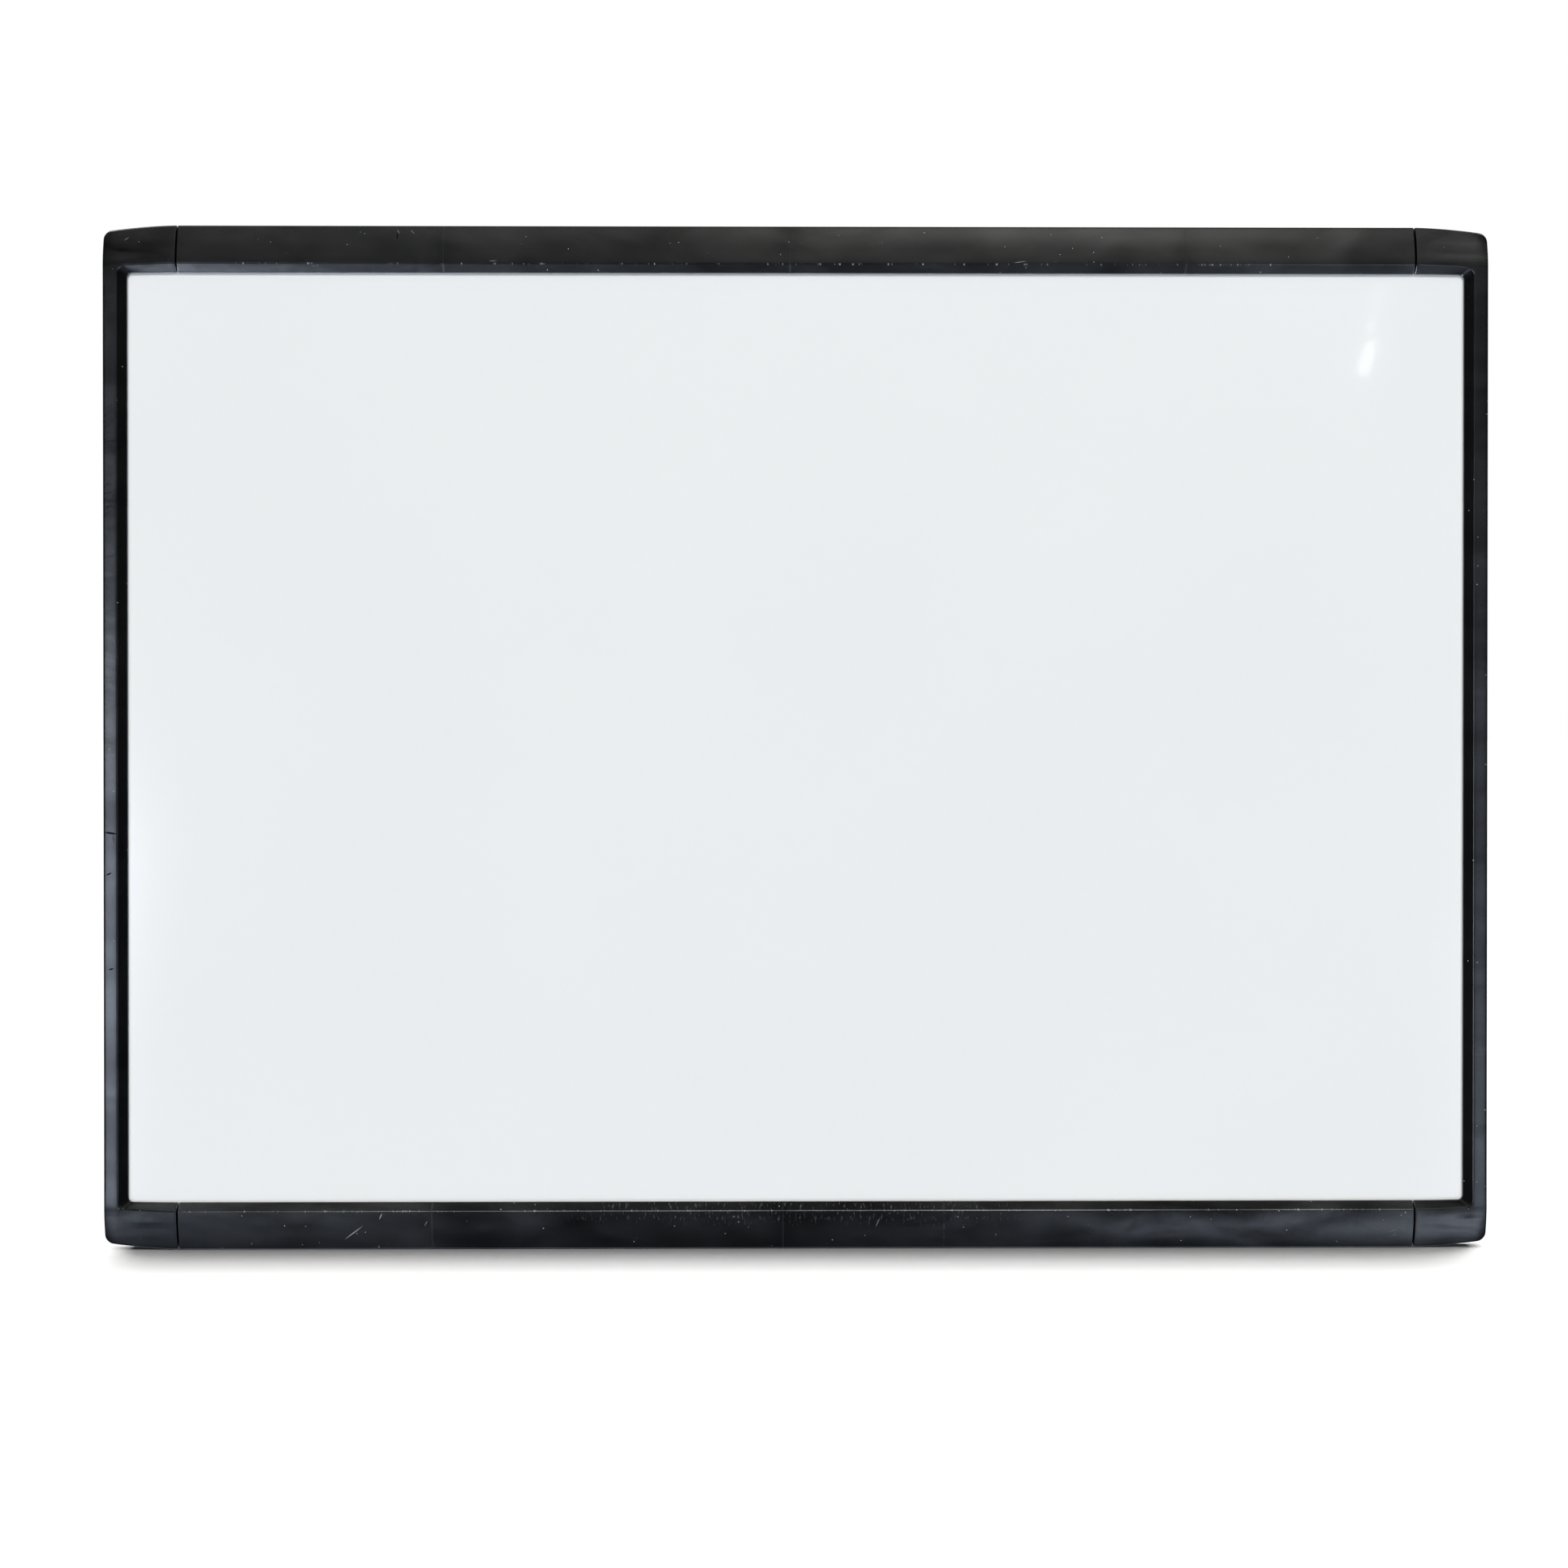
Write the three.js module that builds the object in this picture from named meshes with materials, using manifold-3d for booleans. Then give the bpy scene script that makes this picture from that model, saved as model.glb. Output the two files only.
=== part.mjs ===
// A wall-hung magnetic dry-erase board in a black moulded frame.
// Millimetres. +X runs along the width, +Z is up, and the front faces -Y.
// The origin lies in the wall plane, midway between the two upper hanging points.
//
// The frame is four mouldings: a top and a bottom rail, and two C-shaped end
// mouldings whose arms carry the corners. Each is a channel, open towards the
// middle, that grips a panel of painted steel sheet, core board and backing.
// A splice key in the channel bridges each seam and takes two screws from behind.

import * as THREE from "three";
import { mergeVertices } from "three/addons/utils/BufferGeometryUtils.js";
import Module from "manifold-3d";

const wasm = await Module();
wasm.setup();

// Outline of the board
const boardWidth = 584;
const boardHeight = 432;
const seamFromSide = 30.8;
const seamGap = 0.5;
const endTaper = 2.7;
const ridgeTaper = 1.7;
const lipTaper = 0.6;
const taperPower = 1.65;
const cornerRadius = 3.2;
const ridgeCornerRadius = 3;
const lipCornerRadius = 2;

// Section of the frame, measured inwards from its outer edge
const railFace = 16.5;
const railBevel = 3.3;
const sideFace = 6.1;
const sideBevel = 3.6;
const railCrown = 3.5;
const sideCrown = 0.5;
const bevelDrop = 3;
const wall = 2;
const lipThickness = 1.3;
const lipOverlap = 3.5;
const railFlange = 22;
const sideFlange = 12;
const flangeThickness = 2;
const flangeCornerRadius = 3;
const innerCornerRadius = 0.5;
const sideRunOut = 5;

// Panel: a painted steel sheet glued to a core board with a backing
const sheetThickness = 0.4;
const coreThickness = 6.5;
const backingThickness = 1;
const glueLine = 0.1;
const panelClearance = 0.3;
const panelEdgeClearance = 0.4;

// Splice keys and their screws
const keyEngagement = 14;
const keyWidth = 11;
const keyThickness = 3;
const keyClearance = 0.4;
const keySeatGap = 0.2;
const keyCornerRadius = 1.5;
const screwDiameter = 2.9;
const screwHeadDiameter = 5.5;
const screwHeadHeight = 1.5;
const screwHeadSink = 0.2;
const screwLength = 5;
const screwPointLength = 1;
const screwClearance = 0.3;
const threadClearance = 0.15;
const recessWidth = 0.8;
const recessSpan = 3;
const recessDepth = 1;

// Keyholes for the wall screws
const keyholeEntry = 7.5;
const keyholeSlot = 4.2;
const keyholeTravel = 4.5;
const keyholeFromSide = 12;
const keyholeFromTop = 11.6;

// Bumpers that keep the frame off the wall
const bumperDiameter = 9;
const bumperThickness = 1.5;
const bumperChamfer = 0.3;
const bumperGlue = 0.1;
const bumperFromSide = 6.3;
const bumperFromTop = 36;

// How finely the curves are cut
const armSteps = 8;
const cornerSteps = 6;
const sideSteps = 6;
const crownSteps = 8;
const innerCrownSteps = 3;
const roundSteps = 16;

// Length of each cutter for a hole through the flange
const cutLength = 4 * flangeThickness;

// What follows from the sizes above, as depths from the frame's back face
const backingBack = flangeThickness + panelClearance;
const coreBack = backingBack + backingThickness + glueLine;
const sheetBack = coreBack + coreThickness + glueLine;
const lipBack = sheetBack + sheetThickness + panelClearance;
const lipFront = lipBack + lipThickness;
const frameDepth = lipFront + bevelDrop;
const railLip = railFace + railBevel;
const sideLip = sideFace + sideBevel;
const railStop = railLip - lipOverlap;
const sideStop = sideLip - lipOverlap;
const sidePlainFrom = railFlange + flangeCornerRadius + sideRunOut;
const railLength = boardWidth - 2 * seamFromSide - seamGap;
const bumperStand = bumperThickness + bumperGlue;
const hangFromTop = keyholeFromTop - keyholeTravel;

const materials = {
  frame: { color: 0x2b2e2e, roughness: 0.55, metalness: 0 },
  sheet: { color: 0xe8edf0, roughness: 0.18, metalness: 0 },
  core: { color: 0xb79a73, roughness: 0.9, metalness: 0 },
  backing: { color: 0x8d8f8c, roughness: 0.6, metalness: 0 },
  key: { color: 0x3c3f40, roughness: 0.6, metalness: 0 },
  screw: { color: 0xb9bcc0, roughness: 0.35, metalness: 1 },
  bumper: { color: 0x1c1c1d, roughness: 0.95, metalness: 0 },
};

const board = new THREE.Group();

function addPiece(name, geometry, look) {
  const mesh = new THREE.Mesh(geometry, new THREE.MeshStandardMaterial(materials[look]));
  mesh.name = name;
  board.add(mesh);
  return mesh;
}

// A closed geometry as a solid for joining and cutting
function toSolid(geometry) {
  const bare = geometry.clone();
  bare.deleteAttribute("normal");
  bare.deleteAttribute("uv");
  const merged = mergeVertices(bare, 1e-4);
  const vertProperties = new Float32Array(merged.attributes.position.array);
  const triVerts = new Uint32Array(merged.index.array);
  return new wasm.Manifold(new wasm.Mesh({ numProp: 3, vertProperties, triVerts }));
}

function toGeometry(solid) {
  const { vertProperties, triVerts } = solid.getMesh();
  const geometry = new THREE.BufferGeometry();
  geometry.setAttribute("position", new THREE.BufferAttribute(vertProperties, 3));
  geometry.setIndex(new THREE.BufferAttribute(triVerts, 1));
  geometry.computeVertexNormals();
  return geometry;
}

// A point given by its distances in from the left side and down from the top,
// and by its depth from the frame's back face
function fromTopLeft(inFromSide, downFromTop, depth) {
  return new THREE.Vector3(inFromSide - boardWidth / 2, -depth, boardHeight / 2 - downFromTop);
}

// How far an arm's taper has gone at a distance from the side: 0 at the seam, 1 at the side
function taperShare(inFromSide) {
  const share = (seamFromSide - inFromSide) / seamFromSide;
  return Math.pow(Math.max(share, 0), taperPower);
}

const outerEdge = (inFromSide) => endTaper * taperShare(inFromSide);
const ridgeEdge = (inFromSide) => railFace + ridgeTaper * taperShare(inFromSide);
const lipEdge = (inFromSide) => railLip + lipTaper * taperShare(inFromSide);

// A key lies beside the arm's outer wall, clear of it where the taper is deepest
const keyEdgeFromTop = wall + outerEdge(seamFromSide - keyEngagement) + keyClearance;
const keyCentreFromTop = keyEdgeFromTop + keyWidth / 2;
const endScrewFromSide = seamFromSide - keyEngagement / 2;
const railScrewFromSide = seamFromSide + keyEngagement / 2;

// Depth of the crowned face, which falls away from the ridge to each outer edge
function faceDepth(point) {
  const toRidge = Math.max(ridgeEdge(point.x) - point.y, 0) / railFace;
  const toSideRidge = Math.max(sideFace - point.x, 0) / sideFace;
  return frameDepth - railCrown * toRidge ** 2 - sideCrown * toSideRidge ** 2;
}

// One line of the moulding in plan, from the seam along the arm, round the corner and down
// the side to where the crown of the arm has run out.
// x is the distance in from the side, and y the distance down from the top.
function planLine(edge, fromSide, radius) {
  const corner = new THREE.Vector2(fromSide, edge(fromSide));
  const armEnd = new THREE.Vector2(fromSide + radius, edge(fromSide + radius));
  const sideStart = new THREE.Vector2(fromSide, corner.y + radius);
  const armStart = seamFromSide - seamGap / 2;
  const points = [];
  for (let i = 0; i < armSteps; i += 1) {
    const x = THREE.MathUtils.lerp(armStart, armEnd.x, i / armSteps);
    points.push(new THREE.Vector2(x, edge(x)));
  }
  const roundness = 0.5523;
  const arc = new THREE.CubicBezierCurve(
    armEnd,
    armEnd.clone().lerp(corner, roundness),
    sideStart.clone().lerp(corner, roundness),
    sideStart,
  );
  points.push(...arc.getPoints(cornerSteps));
  for (let i = 1; i <= sideSteps; i += 1) {
    const y = THREE.MathUtils.lerp(sideStart.y, sidePlainFrom, i / sideSteps);
    points.push(new THREE.Vector2(fromSide, y));
  }
  return points;
}

// The channel's section at each station: an array of points with x and y in plan and z the depth
function endStations() {
  const outer = planLine(outerEdge, 0, cornerRadius);
  const inside = planLine((x) => outerEdge(x) + wall, wall, innerCornerRadius);
  const stop = planLine(() => railStop, sideStop, innerCornerRadius);
  const ridge = planLine(ridgeEdge, sideFace, ridgeCornerRadius);
  const lip = planLine(lipEdge, sideLip, lipCornerRadius);
  const flange = planLine(() => railFlange, sideFlange, flangeCornerRadius);
  return outer.map((outerPoint, i) => channelSection({
    outer: outerPoint,
    inside: inside[i],
    stop: stop[i],
    ridge: ridge[i],
    lip: lip[i],
    flange: flange[i],
  }));
}

function channelSection({ outer, inside, stop, ridge, lip, flange }) {
  const at = (point, depth) => new THREE.Vector3(point.x, point.y, depth);
  const section = [
    at(outer, 0),
    at(flange, 0),
    at(flange, flangeThickness),
    at(inside, flangeThickness),
  ];
  for (let i = 0; i <= innerCrownSteps; i += 1) {
    const point = inside.clone().lerp(stop, i / innerCrownSteps);
    section.push(at(point, faceDepth(point) - wall));
  }
  section.push(at(stop, lipBack), at(lip, lipBack), at(lip, lipFront));
  for (let i = 0; i <= crownSteps; i += 1) {
    const point = ridge.clone().lerp(outer, i / crownSteps);
    section.push(at(point, faceDepth(point)));
  }
  return section;
}

// A closed skin over rings of points, with a flat cap on the first ring and the last
function skinOverRings(rings, capOutline) {
  const count = rings[0].length;
  const positions = rings.flat().flatMap((point) => point.toArray());
  const index = [];
  for (let ring = 0; ring < rings.length - 1; ring += 1) {
    for (let i = 0; i < count; i += 1) {
      const here = ring * count + i;
      const next = ring * count + ((i + 1) % count);
      index.push(here, next, here + count);
      index.push(next, next + count, here + count);
    }
  }
  const last = (rings.length - 1) * count;
  for (const [a, b, c] of THREE.ShapeUtils.triangulateShape(capOutline, [])) {
    index.push(a, c, b);
    index.push(last + a, last + b, last + c);
  }
  const geometry = new THREE.BufferGeometry();
  geometry.setAttribute("position", new THREE.Float32BufferAttribute(positions, 3));
  geometry.setIndex(index);
  geometry.computeVertexNormals();
  return geometry;
}

function cylinderCutter(diameter, length) {
  const cylinder = new THREE.CylinderGeometry(diameter / 2, diameter / 2, length, roundSteps);
  return toSolid(cylinder);
}

// Screw holes, countersunk from behind
function screwHole() {
  const shank = cylinderCutter(screwDiameter + 2 * screwClearance, cutLength);
  const mouth = screwHeadDiameter + 2 * screwClearance;
  const bottom = screwDiameter + 2 * screwClearance;
  const coneHeight = screwHeadHeight + screwClearance;
  const sink = screwHeadSink + screwClearance;
  const profile = [
    new THREE.Vector2(0, -coneHeight),
    new THREE.Vector2(bottom / 2, -coneHeight),
    new THREE.Vector2(mouth / 2, -screwHeadSink),
    new THREE.Vector2(mouth / 2, sink),
    new THREE.Vector2(0, sink),
  ];
  return shank.add(toSolid(new THREE.LatheGeometry(profile, roundSteps)));
}

// A keyhole with one slot towards the top edge and one towards the side
function keyhole() {
  const entry = cylinderCutter(keyholeEntry, cutLength);
  const slotEnd = cylinderCutter(keyholeSlot, cutLength);
  const upSlot = toSolid(new THREE.BoxGeometry(keyholeSlot, cutLength, keyholeTravel));
  const sideSlot = toSolid(new THREE.BoxGeometry(keyholeTravel, cutLength, keyholeSlot));
  return entry
    .add(upSlot.translate([0, 0, keyholeTravel / 2]))
    .add(slotEnd.translate([0, 0, keyholeTravel]))
    .add(sideSlot.translate([-keyholeTravel / 2, 0, 0]))
    .add(slotEnd.translate([-keyholeTravel, 0, 0]));
}

// The left end moulding. Turned half a turn about Y, it is the right one.
function endMoulding() {
  const stations = endStations();
  const top = stations.map((section) => section.map((p) => fromTopLeft(p.x, p.y, p.z)));
  const upsideDown = new THREE.Vector3(1, 1, -1);
  const bottom = top.map((section) => section.map((p) => p.clone().multiply(upsideDown)));
  const outline = stations[0].map((p) => new THREE.Vector2(p.y, p.z));
  const skin = skinOverRings([...top, ...bottom.reverse()], outline);
  const screw = fromTopLeft(endScrewFromSide, keyCentreFromTop, 0);
  const hanger = fromTopLeft(keyholeFromSide, keyholeFromTop, flangeThickness / 2);
  let solid = toSolid(skin);
  solid = solid.subtract(screwHole().translate(screw.toArray()));
  solid = solid.subtract(screwHole().mirror([0, 0, 1]).translate([screw.x, screw.y, -screw.z]));
  solid = solid.subtract(keyhole().translate(hanger.toArray()));
  solid = solid.subtract(keyhole().mirror([0, 0, 1]).translate([hanger.x, hanger.y, -hanger.z]));
  return toGeometry(solid);
}

// The top rail, a straight length of the arms' section at the seam. Turned, it is the bottom one.
function railMoulding() {
  const outline = endStations()[0].map((p) => new THREE.Vector2(p.y, p.z));
  const length = { depth: railLength, bevelEnabled: false };
  const rail = new THREE.ExtrudeGeometry(new THREE.Shape(outline), length);
  const down = new THREE.Vector3(0, 0, -1);
  const forward = new THREE.Vector3(0, -1, 0);
  const along = new THREE.Vector3(-1, 0, 0);
  rail.applyMatrix4(new THREE.Matrix4().makeBasis(down, forward, along));
  rail.translate(railLength / 2, 0, boardHeight / 2);
  const screw = fromTopLeft(railScrewFromSide, keyCentreFromTop, 0);
  let solid = toSolid(rail);
  solid = solid.subtract(screwHole().translate([screw.x, screw.y, screw.z]));
  solid = solid.subtract(screwHole().translate([-screw.x, screw.y, screw.z]));
  return toGeometry(solid);
}

function panelLayer(thickness, back) {
  const width = boardWidth - 2 * (sideStop + panelEdgeClearance);
  const height = boardHeight - 2 * (railStop + panelEdgeClearance);
  const layer = new THREE.BoxGeometry(width, thickness, height);
  layer.translate(0, -back - thickness / 2, 0);
  return layer;
}

// A flat key with rounded corners and a pilot hole on each side of the seam
function spliceKey() {
  const halfLength = keyEngagement;
  const halfWidth = keyWidth / 2;
  const r = keyCornerRadius;
  const outline = new THREE.Shape();
  outline.moveTo(-halfLength + r, -halfWidth);
  outline.lineTo(halfLength - r, -halfWidth);
  outline.absarc(halfLength - r, -halfWidth + r, r, -Math.PI / 2, 0, false);
  outline.absarc(halfLength - r, halfWidth - r, r, 0, Math.PI / 2, false);
  outline.absarc(-halfLength + r, halfWidth - r, r, Math.PI / 2, Math.PI, false);
  outline.absarc(-halfLength + r, -halfWidth + r, r, Math.PI, 1.5 * Math.PI, false);
  for (const x of [-keyEngagement / 2, keyEngagement / 2]) {
    const pilot = new THREE.Path();
    pilot.absarc(x, 0, screwDiameter / 2 + threadClearance, 0, 2 * Math.PI, true);
    outline.holes.push(pilot);
  }
  const size = { depth: keyThickness, bevelEnabled: false, curveSegments: roundSteps / 4 };
  const key = new THREE.ExtrudeGeometry(outline, size);
  key.rotateX(Math.PI / 2);
  return key;
}

// A countersunk screw with a cross recess. Its head faces +Y and its top lies at the origin.
function screw() {
  const shank = screwDiameter / 2;
  const profile = [
    new THREE.Vector2(0, -screwLength),
    new THREE.Vector2(shank, -screwLength + screwPointLength),
    new THREE.Vector2(shank, -screwHeadHeight),
    new THREE.Vector2(screwHeadDiameter / 2, 0),
    new THREE.Vector2(0, 0),
  ];
  const body = toSolid(new THREE.LatheGeometry(profile, roundSteps));
  const bar = toSolid(new THREE.BoxGeometry(recessSpan, 2 * recessDepth, recessWidth));
  return toGeometry(body.subtract(bar).subtract(bar.rotate([0, 90, 0])));
}

function wallBumper() {
  const radius = bumperDiameter / 2;
  const profile = [
    new THREE.Vector2(0, 0),
    new THREE.Vector2(radius, 0),
    new THREE.Vector2(radius, bumperThickness - bumperChamfer),
    new THREE.Vector2(radius - bumperChamfer, bumperThickness),
    new THREE.Vector2(0, bumperThickness),
  ];
  return new THREE.LatheGeometry(profile, roundSteps);
}

// The four mouldings
const halfTurn = Math.PI;
addPiece("left_end_frame", endMoulding(), "frame");
addPiece("right_end_frame", endMoulding(), "frame").rotation.y = halfTurn;
addPiece("top_rail", railMoulding(), "frame");
addPiece("bottom_rail", railMoulding(), "frame").rotation.y = halfTurn;

// The panel's layers
addPiece("writing_sheet", panelLayer(sheetThickness, sheetBack), "sheet");
addPiece("core_board", panelLayer(coreThickness, coreBack), "core");
addPiece("backing_board", panelLayer(backingThickness, backingBack), "backing");

// What each corner holds, all placed from the same two edges
const corners = [
  { name: "top_left", alongX: 1, alongZ: 1 },
  { name: "top_right", alongX: -1, alongZ: 1 },
  { name: "bottom_left", alongX: 1, alongZ: -1 },
  { name: "bottom_right", alongX: -1, alongZ: -1 },
];
for (const { name, alongX, alongZ } of corners) {
  const place = (mesh, inFromSide, downFromTop, depth) => {
    const point = fromTopLeft(inFromSide, downFromTop, depth);
    mesh.position.set(alongX * point.x, point.y, alongZ * point.z);
  };
  const keyDepth = flangeThickness + keySeatGap + keyThickness;
  place(addPiece(`splice_key_${name}`, spliceKey(), "key"), seamFromSide, keyCentreFromTop, keyDepth);
  place(addPiece(`end_screw_${name}`, screw(), "screw"), endScrewFromSide, keyCentreFromTop, screwHeadSink);
  place(addPiece(`rail_screw_${name}`, screw(), "screw"), railScrewFromSide, keyCentreFromTop, screwHeadSink);
  place(addPiece(`wall_bumper_${name}`, wallBumper(), "bumper"), bumperFromSide, bumperFromTop, -bumperGlue);
}

// The origin goes from the board's middle to the hanging line in the wall plane
board.position.set(0, -bumperStand, hangFromTop - boardHeight / 2);

const part = new THREE.Group();
part.add(board);

export default part;
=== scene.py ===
import math

import bmesh
import bpy
from mathutils import Matrix, Quaternion, Vector


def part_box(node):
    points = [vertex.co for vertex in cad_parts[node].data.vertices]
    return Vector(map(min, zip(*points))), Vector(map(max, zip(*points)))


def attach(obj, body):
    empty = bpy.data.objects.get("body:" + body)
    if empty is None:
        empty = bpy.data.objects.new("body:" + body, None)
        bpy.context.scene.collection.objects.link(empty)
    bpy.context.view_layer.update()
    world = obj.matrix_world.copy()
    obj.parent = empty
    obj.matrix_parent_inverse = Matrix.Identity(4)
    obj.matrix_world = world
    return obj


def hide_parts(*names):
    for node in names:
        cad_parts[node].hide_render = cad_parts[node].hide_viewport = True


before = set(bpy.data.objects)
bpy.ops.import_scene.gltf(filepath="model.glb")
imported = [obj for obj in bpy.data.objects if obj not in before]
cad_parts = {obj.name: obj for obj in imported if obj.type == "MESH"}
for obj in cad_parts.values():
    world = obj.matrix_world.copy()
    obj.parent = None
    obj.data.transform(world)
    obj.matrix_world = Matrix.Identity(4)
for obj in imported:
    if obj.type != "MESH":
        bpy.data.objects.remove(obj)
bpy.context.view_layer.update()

MM = 0.001

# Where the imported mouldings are, in metres
END_LOW, END_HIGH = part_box("left_end_frame")
RAIL_LOW, RAIL_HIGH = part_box("top_rail")
BOARD_LEFT = END_LOW.x
BOARD_TOP = RAIL_HIGH.z
BOARD_BOTTOM = END_LOW.z
FRAME_BACK = END_HIGH.y
FLOOR_GAP = 0.3
FLOOR_HEIGHT = BOARD_BOTTOM - FLOOR_GAP * MM
BOARD_MIDDLE = Vector((0, FRAME_BACK, (BOARD_TOP + BOARD_BOTTOM) / 2))

# Outline of the mouldings
SEAM_FROM_SIDE = 30.8
SEAM_GAP = 0.5
END_TAPER = 2.7
RIDGE_TAPER = 1.7
LIP_TAPER = 0.6
TAPER_POWER = 1.65
CORNER_RADIUS = 3.2
RIDGE_CORNER_RADIUS = 3
LIP_CORNER_RADIUS = 2
FLANGE_CORNER_RADIUS = 3
INNER_CORNER_RADIUS = 0.5
SIDE_PLAIN_FROM = 30

# Section of the mouldings
RAIL_FACE = 16.5
RAIL_LIP = 19.8
SIDE_FACE = 6.1
SIDE_LIP = 9.7
RAIL_STOP = 16.3
SIDE_STOP = 6.2
RAIL_FLANGE = 22
SIDE_FLANGE = 12
RAIL_CROWN = 3.5
SIDE_CROWN = 0.5
WALL = 2
FLANGE_THICKNESS = 2
LIP_BACK = 10.7
LIP_FRONT = 12
FRAME_DEPTH = 15

# How far each edge of the section is rounded
BACK_ROUNDING = 0.4
FLANGE_ROUNDING = 0.35
LIP_ROUNDING = 0.35
RIDGE_ROUNDING = 0.5
OUTER_ROUNDING = 0.8
SEAM_ROUNDING = 0.32

# Screws, keyholes and wall bumpers
SCREW_DIAMETER = 2.9
SCREW_HEAD_DIAMETER = 5.5
SCREW_HEAD_HEIGHT = 1.5
SCREW_HEAD_SINK = 0.2
SCREW_LENGTH = 5
SCREW_POINT = 1
SCREW_CLEARANCE = 0.3
THREAD_PITCH = 1.1
THREAD_DEPTH = 0.28
RECESS_WIDTH = 0.8
RECESS_SPAN = 3
RECESS_DEPTH = 1
KEYHOLE_ENTRY = 7.5
KEYHOLE_SLOT = 4.2
KEYHOLE_TRAVEL = 4.5
KEYHOLE_FROM_SIDE = 12
KEYHOLE_FROM_TOP = 11.6
HOLE_CHAMFER = 0.3
BUMPER_DIAMETER = 9
BUMPER_THICKNESS = 1.5
BUMPER_RIM = 0.45
BUMPER_CROWN = 0.12

# Lines across the rails where the melt met, as x in millimetres, the rail and how strong
KNIT_LINES = (
    (-149, "top", 1),
    (-3, "top", 1),
    (164, "top", 0.8),
    (-154, "bottom", 1),
    (-6, "bottom", 1),
    (62, "bottom", 0.6),
    (154, "bottom", 0.3),
)
KNIT_LINE_REACH = 0.7
KNIT_FLANK_REACH = 9
# Scratches as x, z, degrees from level, half length and strength, in millimetres
SCRATCHES = (
    (-168, 4.4, -60, 1.3, 0.4),
    (-162, 4.2, -50, 1.4, 0.4),
    (-128, -8.3, 4, 1.9, 0.4),
    (94, -8.4, 8, 3.0, 0.5),
    (-187, -417.6, 37, 5.4, 0.8),
    (-175.5, -410.5, 67, 1.6, 0.9),
    (-156.5, -413.6, 60, 1.5, 0.4),
    (34, -413.5, 66, 2.4, 0.4),
    (252, -417.6, 22, 2.2, 0.12),
    (252.6, -419.6, 18, 2.0, 0.12),
    (-282, 1.0, 35, 1.4, 0.35),
)
SCRATCH_HALF_WIDTH = 0.22
# Pressed creases as x, z, degrees from level, half length and half width, then darker smudges
CREASES = (
    (-288.6, -249.0, -8, 3.2, 0.5),
    (-289.5, -266.2, 25, 1.5, 0.4),
    (-288.6, -306.2, 12, 1.4, 0.4),
    (-168.4, 2.2, 88, 1.8, 0.28),
)
SMUDGES = (
    (283.5, -411.5, 3, 6.5, 1.6),
    (-283.5, -4.0, -5, 6.5, 1.6),
    (-287.5, -251.5, -80, 2.5, 0.7),
)
# The share of a mark that is solid before it fades towards its edge
HARD_EDGED = 0.55
SOFT_EDGED = 0

# How finely the curves are cut
ARM_STEPS = 16
CORNER_STEPS = 14
SIDE_STEPS = 14
CROWN_STEPS = 16
FILLET_STEPS = 4
ROUND_STEPS = 48

# Edges that turn by more than these degrees stay sharp
MOULDING_SHARP = 38
SCREW_SHARP = 32
BUMPER_SHARP = 50

CORNERS = ("top_left", "top_right", "bottom_left", "bottom_right")


def from_top_left(in_from_side, down_from_top, depth):
    """The world point in from the left side, down from the top and forward of the back."""
    return Vector((
        BOARD_LEFT + in_from_side * MM,
        FRAME_BACK - depth * MM,
        BOARD_TOP - down_from_top * MM,
    ))


def mirrored(point, along_x, along_z):
    """A point of the top left corner, moved to another corner of the board."""
    return Vector((
        along_x * point.x,
        point.y,
        BOARD_MIDDLE.z + along_z * (point.z - BOARD_MIDDLE.z),
    ))


# Shape of the mouldings, in millimetres

def taper_share(x):
    return max((SEAM_FROM_SIDE - x) / SEAM_FROM_SIDE, 0) ** TAPER_POWER


def outer_edge(x):
    return END_TAPER * taper_share(x)


def inside_edge(x):
    return outer_edge(x) + WALL


def stop_edge(x):
    return RAIL_STOP


def ridge_edge(x):
    return RAIL_FACE + RIDGE_TAPER * taper_share(x)


def lip_edge(x):
    return RAIL_LIP + LIP_TAPER * taper_share(x)


def flange_edge(x):
    return RAIL_FLANGE


def face_depth(point):
    """Depth of the crowned face, which falls away from the ridge to each outer edge."""
    to_ridge = max(ridge_edge(point.x) - point.y, 0) / RAIL_FACE
    to_side_ridge = max(SIDE_FACE - point.x, 0) / SIDE_FACE
    return FRAME_DEPTH - RAIL_CROWN * to_ridge**2 - SIDE_CROWN * to_side_ridge**2


def plan_line(edge, from_side, radius):
    """One line of the moulding in plan, from the seam to where the side's section is plain."""
    corner = Vector((from_side, edge(from_side)))
    arm_end = Vector((from_side + radius, edge(from_side + radius)))
    side_start = Vector((from_side, corner.y + radius))
    arm_start = SEAM_FROM_SIDE - SEAM_GAP / 2
    points = []
    for i in range(ARM_STEPS):
        x = arm_start + (arm_end.x - arm_start) * i / ARM_STEPS
        points.append(Vector((x, edge(x))))
    roundness = 0.5523
    arm_handle = arm_end.lerp(corner, roundness)
    side_handle = side_start.lerp(corner, roundness)
    for i in range(CORNER_STEPS + 1):
        t = i / CORNER_STEPS
        near = arm_end.lerp(arm_handle, t)
        middle = arm_handle.lerp(side_handle, t)
        far = side_handle.lerp(side_start, t)
        points.append(near.lerp(middle, t).lerp(middle.lerp(far, t), t))
    for i in range(1, SIDE_STEPS + 1):
        y = side_start.y + (SIDE_PLAIN_FROM - side_start.y) * i / SIDE_STEPS
        points.append(Vector((from_side, y)))
    return points


def at_depth(point, depth):
    return Vector((point.x, point.y, depth))


def fillet(before, corner, after, radius):
    """Points that round a corner of the section."""
    start = corner + (before - corner).normalized() * radius
    end = corner + (after - corner).normalized() * radius
    points = []
    for i in range(FILLET_STEPS + 1):
        t = i / FILLET_STEPS
        points.append(start.lerp(corner, t).lerp(corner.lerp(end, t), t))
    return points


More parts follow.
